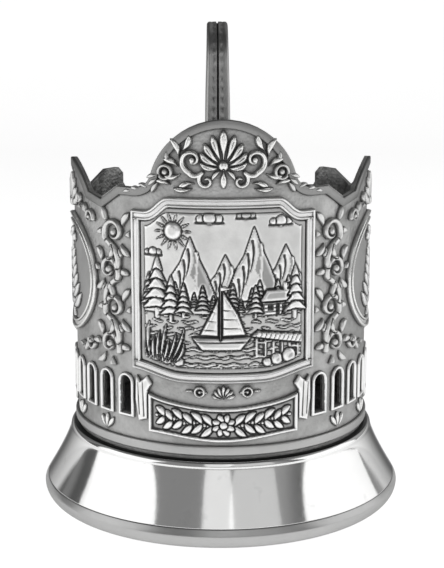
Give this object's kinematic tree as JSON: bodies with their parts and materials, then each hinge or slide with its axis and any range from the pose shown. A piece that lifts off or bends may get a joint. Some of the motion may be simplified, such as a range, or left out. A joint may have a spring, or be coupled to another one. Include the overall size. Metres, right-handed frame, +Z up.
{
  "type": "tea glass holder",
  "caption": "Metal holder for a tea glass: pierced and embossed round cup with crested rim, polished spreading foot and a loop handle behind.",
  "frame": {"origin": "on the cup's axis, in the plane of the foot's underside", "axes": "+Z up along the cup's axis, -Y towards the front picture, +Y towards the handle"},
  "size_m": [0.0862, 0.1151, 0.1115],
  "materials": {
    "blackened_silver": "satin",
    "raised_silver": "satin",
    "bright_picture": "satin",
    "polished_foot": "polished",
    "handle_silver": "satin"
  },
  "bodies": {
    "root": {"wall_band": "blackened_silver", "base_moulding": "raised_silver", "floor_pan": "blackened_silver", "foot_shell": "polished_foot", "foot_lip": "polished_foot", "front_frame": "raised_silver", "front_picture": "bright_picture", "frame_keystone": "raised_silver", "ribbon": "bright_picture", "ribbon_tails": "bright_picture", "crest_palmette": "raised_silver", "crest_scrolls": "raised_silver", "crest_roundels": "raised_silver", "left_frame": "raised_silver", "left_picture": "bright_picture", "right_frame": "raised_silver", "right_picture": "bright_picture", "left_crest_leaf": "raised_silver", "right_crest_leaf": "raised_silver", "left_front_scrolls": "raised_silver", "right_front_scrolls": "raised_silver", "left_rear_scrolls": "raised_silver", "right_rear_scrolls": "raised_silver", "left_slot_surrounds": "raised_silver", "right_slot_surrounds": "raised_silver", "base_leaves": "raised_silver", "handle_left_half": "handle_silver", "handle_right_half": "handle_silver", "handle_upper_plate": "raised_silver", "handle_lower_plate": "raised_silver", "rear_seam_strip": "raised_silver"}
  },
  "joints": []
}
